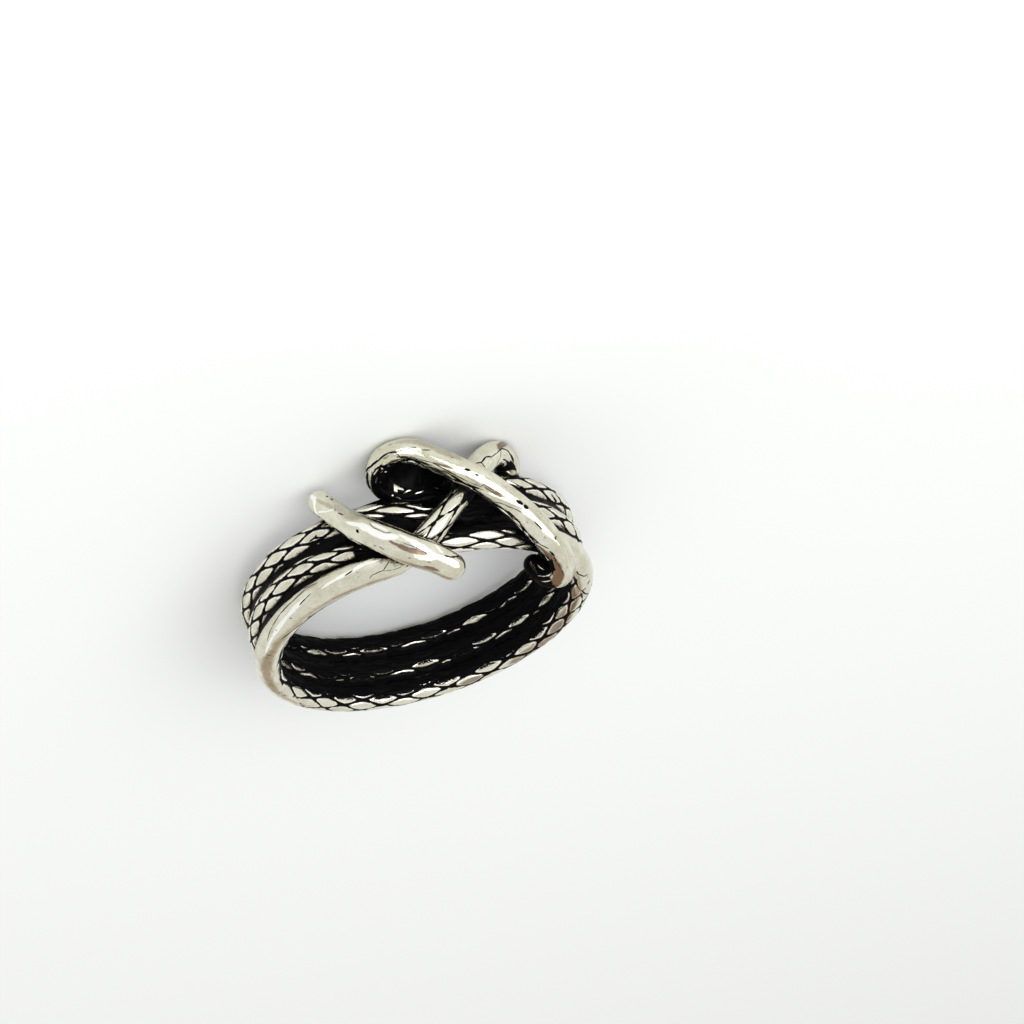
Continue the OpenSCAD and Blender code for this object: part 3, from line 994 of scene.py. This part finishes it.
# Painted reflections of brown things, on the sides that mirror them: the hook's, and the third
# turn's
HOOK_REFLECTION = [
    [[4.9, 92, 40], [4.2, 101, 70], [3.4, 102, 80], [2.6, 106, 80], [2, 122, 60],
     [1.8, 139, 40]]]
TURN_REFLECTION = [
    [[168.6, 178, 30], [169.8, 166, 70], [172.2, 158, 100], [174.6, 150, 100], [177, 140, 80],
     [179, 140, 60]],
    [[181, 150, 50], [183, 150, 50]]]
TURN_BROWNNESS = 0.75
# Fainter painted shade and reflections
FAINTNESS = 0.4
FAINT_SHADE_AND_REFLECTIONS = [
    [[305.4, 300, 20], [306.8, 298, 28], [307.9, 300, 28], [308.6, 306, 20]],
    [[300.3, 356, 28], [300.8, 350, 34], [301.4, 344, 24]],
    [[301.6, 330, 50], [302.6, 336, 70], [303.4, 330, 50]],
    [[210, 28, 20], [210.9, 20, 24], [211.8, 21, 24]],
    [[15.6, 200, 50], [14, 205, 60], [12.4, 208, 50]],
    [[218, 96, 60], [219.6, 100, 60]]]

# Silver that shows in black recesses
WORN_TRAILS = [
    [[17.66, 143, 9], [17.38, 137, 11], [17.16, 126, 10], [17.12, 116, 8]],
    [[18.06, 130, 10], [17.76, 124, 11], [17.36, 112, 9]],
    [[17.36, 100, 7], [17.23, 82, 7]],
    [[16.75, 106, 6], [16.5, 88, 6], [16.25, 74, 5]],
    [[18.42, 120, 10], [18.2, 110, 10]],
    [[19.6, 58, 24], [19.75, 68, 20], [19.85, 86, 9], [19.7, 104, 5]],
    [[19.75, 62, 20], [20.05, 63, 16], [20.25, 65, 10]],
    [[20.35, 80, 7], [20.7, 70, 10], [21.1, 74, 7]],
    [[21.1, 88, 7], [21.5, 84, 11]],
    [[20, 104, 8], [20.3, 108, 12]],
    [[0.1, 70, 12], [0.25, 77, 18], [0.45, 79, 16], [0.6, 84, 10], [0.85, 90, 16]],
    [[0.7, 58, 8], [1.2, 62, 10]],
    [[1.05, 99, 6], [1.5, 91, 12], [2, 82, 10]],
    [[1.7, 111, 8], [1.3, 119, 8]],
    [[86.9, 66, 14], [87.9, 62, 26]],
    [[88.7, 61, 8], [89.2, 59, 8]],
    [[153.4, 42, 12], [154.2, 38, 14]],
    [[156.4, 31, 6], [156.8, 29, 8]],
    [[148.3, 40, 12], [148.9, 40, 12]],
    [[229.05, 200, 28], [229.15, 168, 40], [229.45, 142, 40]]]

# Colours of the metal, the last one black
SILVER_TONES = [(0.83, 0.815, 0.69, 1), (0.60, 0.575, 0.44, 1)]
# Rim colour: partly polish on the raised edges, partly a painted highlight
RIM_POLISH_AND_HIGHLIGHT = (0.99, 0.98, 0.90, 1)
# Colour of the painted highlights
HIGHLIGHT_PAINT = (1.0, 0.995, 0.95, 1)
# Colour of tarnish, and of the painted reflections and shade
TARNISH_REFLECTION_AND_SHADE = (0.23, 0.165, 0.120, 1)
# Colour of the painted brown reflections
REFLECTED_BROWN = (0.18, 0.095, 0.045, 1)
# Colour of the smudges, partly oxide and partly painted shade
SMUDGE_AND_SHADE = (0.10, 0.075, 0.045, 1)
OXIDE = (0.0015, 0.0015, 0.002, 1)
OXIDE_SHINE = 0.04
ROUGHNESS = 0.13
BUMP_STRENGTH = 0.6
BUMP_HEIGHT = 0.02 * MM

# Noises, by their bumps a mm. Those of the lines go by the rope's radius, and they are
# drawn out along it
COARSE = 0.9
MIDDLING = 2.6
FINE = 9.0
GRIT = 24.0
LINES = 7.0
LINES_ALONG = 0.25
MORE_DETAIL = 3.0
NOISE_ROUGHNESS = 0.55
# How far the noise moves the marks along and round the rope, in mm
WAVER_ALONG = 0.05
WAVER_ROUND = 0.02
# Grooves in mm: half their width, how it varies, and how their edge wavers and is softened
GROOVE_HALF_WIDTH = 0.064
GROOVE_VARIES = 0.032
EDGE_WAVER = 0.016
EDGE_SOFTNESS = 0.012
# Rims of the scales on the inside, bright rims, and stains beside the grooves, in mm
RIM_BAND = (0.06, 0.10, 0.13, 0.19)
BRIGHT_BAND = (0.02, 0.04, 0.06, 0.12)
NEAR_GROOVE = (0.035, 0)
# Pairs say where a soft edge starts and where it is done. Grooves go by the relief and by
# how much of them is left
GROOVE_RELIEF = (0.08, 0.55)
GROOVE_LEFT = (0.05, 0.25)
# Crevices and smudges go by the openness
CREVICE_OPEN = (0.72, 0.64)
SMUDGE_OPEN = (0.92, 0.74)
# Black goes by the fields of oxide, and spots by noise
LINING_FIELD = (0.1, 0.3)
RECESS_FIELD = (0, 0.25)
SPOT_NOISE = (0.95, 1.25)
# The metal goes by how black it is
METAL_LEFT = (1.0, 0.3)
# A mark's edge, as shares of its half width
MARK_EDGE = (1.3, 0.8)

# Turns round the rope are counted from here, in degrees, where no mark lies
TURNS_FROM = -100


def counted(turn):
    """A turn in degrees, as the material counts it."""
    return (turn - TURNS_FROM) % 360 + TURNS_FROM


def trail_marks(trails, strength=1.0):
    """The stretches of trails as rows of marks."""
    rows = []
    for trail in trails:
        for (a, turn_a, hundredths), (b, turn_b, _) in zip(trail, trail[1:]):
            width = hundredths / 100
            turn_a, turn_b = counted(turn_a), counted(turn_b)
            aside = math.radians(turn_b - turn_a) * ROPE_RADIUS / MM
            length = math.hypot(b - a, aside)
            tilt = math.degrees(math.atan2(aside, b - a))
            middle = [(a + b) / 2, (turn_a + turn_b) / 2]
            rows.append(middle + [length + width, width, tilt, strength])
    return rows


# So many marks are worked out at once, since the shader has room for few values. The next
# ones wait for them
MARKS_AT_ONCE = 8
FAR_AWAY = 1e6


def marked(s, along, aside, table):
    """1 inside the marks of a table, 0 outside, with a soft edge."""
    most = 0.0
    for n, (middle, turn, length, width, tilt, strength) in enumerate(table):
        if n % MARKS_AT_ONCE == 0:
            here = s.joined(along, aside, most)
        moved = s.node("ShaderNodeMapping", {
            "Vector": here,
            "Location": (middle, math.radians(counted(turn)) * ROPE_RADIUS / MM, 0),
            "Rotation": (0, 0, math.radians(tilt)),
            "Scale": (length / 2, width / 2, FAR_AWAY)}, vector_type="TEXTURE").outputs[0]
        far = s.node("ShaderNodeVectorMath", {"Vector": moved}, operation="LENGTH")
        mark = s.times(s.step(far.outputs["Value"], *MARK_EDGE), strength)
        most = s.most(most, mark)
    return most


def silver_material():
    material = bpy.data.materials.new("oxidised_silver")
    s = Shading(material)
    where = s.node("ShaderNodeTexCoord", {}).outputs["Object"]
    in_mm = {"Vector": where, "Scale": 1 / MM}
    where = s.node("ShaderNodeVectorMath", in_mm, operation="SCALE").outputs[0]
    inside, relief, tone = s.field("inside"), s.field("relief"), s.field("tone")
    along, cosine, sine = s.field("along"), s.field("cosine"), s.field("sine")
    turn = s.maths("ARCTAN2", sine, cosine)
    turn = s.maths("WRAP", turn, math.radians(TURNS_FROM + 360), math.radians(TURNS_FROM))

    coarse = s.speckle(where, COARSE)
    middling = s.speckle(where, MIDDLING)
    fine = s.speckle(where, FINE, MORE_DETAIL)
    grit = s.speckle(where, GRIT)
    lines = s.speckle(s.joined(s.times(along, LINES_ALONG), cosine, sine), LINES, MORE_DETAIL)

    # Marks with wavy edges
    ahead = s.plus(along, (WAVER_ALONG, middling))
    aside = s.plus(s.times(turn, ROPE_RADIUS / MM), (WAVER_ROUND, fine))
    dents, painted_reflections_and_shade, painted_brown_reflection, worn_spots, painted_highlight = [marked(s, ahead, aside, table) for table in (
        DENTS + trail_marks(CRACKS),
        trail_marks(PAINTED_REFLECTIONS) + trail_marks(FAINT_SHADE_AND_REFLECTIONS, FAINTNESS),
        trail_marks(HOOK_REFLECTION) + trail_marks(TURN_REFLECTION, TURN_BROWNNESS),
        trail_marks(WORN_TRAILS),
        trail_marks(PAINTED_HIGHLIGHTS))]

    # Grooves between scales, thin and broken where they are worn
    kept = s.step(s.plus(relief, (0.15, middling)), *GROOVE_RELIEF)
    half_width = s.times(kept, s.plus(GROOVE_HALF_WIDTH, (GROOVE_VARIES, middling)))
    from_groove = s.less(s.plus(inside, (EDGE_WAVER, fine)), half_width)
    groove = s.step(from_groove, EDGE_SOFTNESS, -EDGE_SOFTNESS)
    groove = s.times(groove, s.step(kept, *GROOVE_LEFT))

    # Crevices between the strands, black with oxide, with a smudged edge that is partly oxide
    # and partly painted shade
    shelter = s.plus(s.field("open"), (0.06, fine), (0.10, middling))
    crevice = s.step(shelter, *CREVICE_OPEN)
    smudge_and_shade = s.step(s.plus(shelter, (0.11, grit)), *SMUDGE_OPEN)

    # Oxide on the inside, worn off some scales and off their rims, and oxide in recesses
    rim = s.band(inside, *RIM_BAND)
    bare = s.plus(s.times(s.less(tone, 0.75), 1.5), (0.60, rim))
    kept_in = s.plus(s.field("inner"), (0.30, lines), (0.35, fine), (0.45, grit))
    lining = s.step(s.less(kept_in, bare), *LINING_FIELD)
    hidden = s.plus(s.field("recess"), (0.15, grit), (0.15, fine))
    lining = s.most(lining, s.step(hidden, *RECESS_FIELD))

    kept_dark = s.less(1.0, worn_spots)
    black = s.times(s.most(s.most(crevice, lining), dents), kept_dark)
    black = s.most(black, groove)

    # Silver with a shade of its own on each scale, a bright rim round it, tarnish, and painted
    # highlights, reflections and shade
    shade = s.plus(
        0.36, (0.40, tone), (0.38, coarse), (0.20, fine), (0.20, middling), (-0.16, relief))
    silver = s.mix(s.most(shade, 0.0), *SILVER_TONES)
    # A brighter rim round each scale: partly polish on its raised edge, partly a painted
    # highlight
    polished_and_highlit_rim = s.times(s.band(from_groove, *BRIGHT_BAND), relief)
    silver = s.mix(s.times(polished_and_highlit_rim, 0.9), silver, RIM_POLISH_AND_HIGHLIGHT)
    spots = s.step(s.plus(fine, (0.6, coarse)), *SPOT_NOISE)
    # Tarnish beside the grooves and in random spots, and painted reflections and shade in the
    # listed patches
    tarnish_reflections_and_shade = s.most(s.times(s.step(from_groove, *NEAR_GROOVE), 0.6), s.times(spots, 0.7))
    grainy = s.times(painted_reflections_and_shade, s.plus(1.0, (0.30, fine)))
    tarnish_reflections_and_shade = s.most(s.times(tarnish_reflections_and_shade, relief), grainy)
    # Painted highlights: paler silver in the listed patches, left out under the painted
    # reflections
    silver = s.mix(s.times(painted_highlight, s.less(1.0, painted_reflections_and_shade)), silver, HIGHLIGHT_PAINT)
    silver = s.mix(tarnish_reflections_and_shade, silver, TARNISH_REFLECTION_AND_SHADE)
    # Painted brown reflections, fainter on the bright rims
    silver = s.mix(s.times(painted_brown_reflection, s.plus(0.95, (-0.8, polished_and_highlit_rim))), silver, REFLECTED_BROWN)
    # Dark smudges by the crevices, partly oxide and partly painted shade, less on the painted
    # highlights
    soot_and_shade = s.times(smudge_and_shade, s.times(kept_dark, 0.9))
    silver = s.mix(s.times(soot_and_shade, s.plus(1.0, (-0.9, painted_highlight))), silver, SMUDGE_AND_SHADE)

    height = s.plus(s.times(lines, 0.10), (0.05, fine), (0.20, middling))
    bump = {"Height": height, "Strength": BUMP_STRENGTH, "Distance": BUMP_HEIGHT}
    s.fill(s.tree.nodes["Principled BSDF"], {
        "Base Color": s.mix(black, silver, OXIDE),
        "Metallic": s.step(black, *METAL_LEFT),
        "Specular IOR Level": OXIDE_SHINE,
        "Roughness": s.plus(
            ROUGHNESS, (0.03, middling), (0.10, relief), (0.12, tarnish_reflections_and_shade), (0.25, black)),
        "Normal": s.node("ShaderNodeBump", bump).outputs["Normal"]})
    return material


ring.data.materials.clear()
ring.data.materials.append(silver_material())
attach(ring, "root")
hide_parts("rope_ring")

# Camera
CAMERA_DISTANCE = 140 * MM
CAMERA_ELEVATION = math.radians(26.4)
CAMERA_ROLL = math.radians(160.25)
CAMERA_TARGET = Vector((-7.616, -1.375, -2.761)) * MM
CAMERA_LENS = 75.62
SENSOR_WIDTH = 36
NEAREST_SEEN = 0.005
FARTHEST_SEEN = 20

camera_data = bpy.data.cameras.new("camera")
camera_data.lens = CAMERA_LENS
camera_data.sensor_width = SENSOR_WIDTH
camera_data.clip_start = NEAREST_SEEN
camera_data.clip_end = FARTHEST_SEEN
camera = object_of("camera", camera_data)
bpy.context.scene.camera = camera
aim = (
    Matrix.Translation(CAMERA_TARGET)
    @ Matrix.Rotation(math.pi / 2 - CAMERA_ELEVATION, 4, "X")
    @ Matrix.Rotation(CAMERA_ROLL, 4, "Z")
    @ Matrix.Translation((0, 0, CAMERA_DISTANCE)))
camera.matrix_world = lie @ aim

# Floor
FLOOR_REACH = 3.0
FLOOR_COLOUR = (0.80, 0.815, 0.81, 1)
FLOOR_ROUGHNESS = 0.8
floor_mesh = bpy.data.meshes.new("floor")
floor_mesh.from_pydata(
    [(x * FLOOR_REACH, y * FLOOR_REACH, 0) for x, y in ((-1, -1), (1, -1), (1, 1), (-1, 1))],
    [], [(0, 1, 2, 3)])
floor = object_of("floor", floor_mesh)
pale = bpy.data.materials.new("pale_floor")
painted = Shading(pale)
painted.fill(painted.tree.nodes["Principled BSDF"], {
    "Base Color": FLOOR_COLOUR, "Roughness": FLOOR_ROUGHNESS})
floor_mesh.materials.append(pale)

# Studio light: a pale room with a warm dim wall behind the ring, and a wide soft light
# before it. The wall fades out between two angles from its middle
ROOM_COLOUR = (1, 1, 0.99, 1)
ROOM_LIGHT = 0.88
SHADE_COLOUR = (0.52, 0.42, 0.33, 1)
SHADE_AZIMUTH = 60
SHADE_ELEVATION = 20
SHADE_FROM = 8
SHADE_TO = 27
KEY_AZIMUTH = -122
KEY_ELEVATION = 33
KEY_DISTANCE = 0.38
KEY_WIDTH = 0.56
KEY_HEIGHT = 0.30
KEY_RADIANCE = 2.5


def direction(azimuth, elevation):
    """The way towards an azimuth and elevation in degrees."""
    turn = math.radians(azimuth)
    rise = math.radians(elevation)
    level = math.cos(rise)
    return Vector((math.cos(turn) * level, math.sin(turn) * level, math.sin(rise)))


world = bpy.data.worlds.new("studio")
bpy.context.scene.world = world
room = Shading(world)
facing = {
    0: room.node("ShaderNodeTexCoord", {}).outputs["Generated"],
    1: direction(SHADE_AZIMUTH, SHADE_ELEVATION)}
towards = room.node("ShaderNodeVectorMath", facing, operation="DOT_PRODUCT").outputs["Value"]
shade_from = math.cos(math.radians(SHADE_FROM))
shade_to = math.cos(math.radians(SHADE_TO))
tint = room.mix(room.step(towards, shade_to, shade_from), ROOM_COLOUR, SHADE_COLOUR)
room.fill(room.tree.nodes["Background"], {"Color": tint, "Strength": ROOM_LIGHT})

light_data = bpy.data.lights.new("key", "AREA")
light_data.shape = "RECTANGLE"
light_data.size = KEY_WIDTH
light_data.size_y = KEY_HEIGHT
light_data.energy = KEY_RADIANCE * math.pi * KEY_WIDTH * KEY_HEIGHT
light = object_of("key", light_data)
light.location = KEY_DISTANCE * direction(KEY_AZIMUTH, KEY_ELEVATION)
light.rotation_mode = "QUATERNION"
light.rotation_quaternion = (-light.location).to_track_quat("-Z", "Y")

bpy.context.scene.view_settings.view_transform = "Standard"
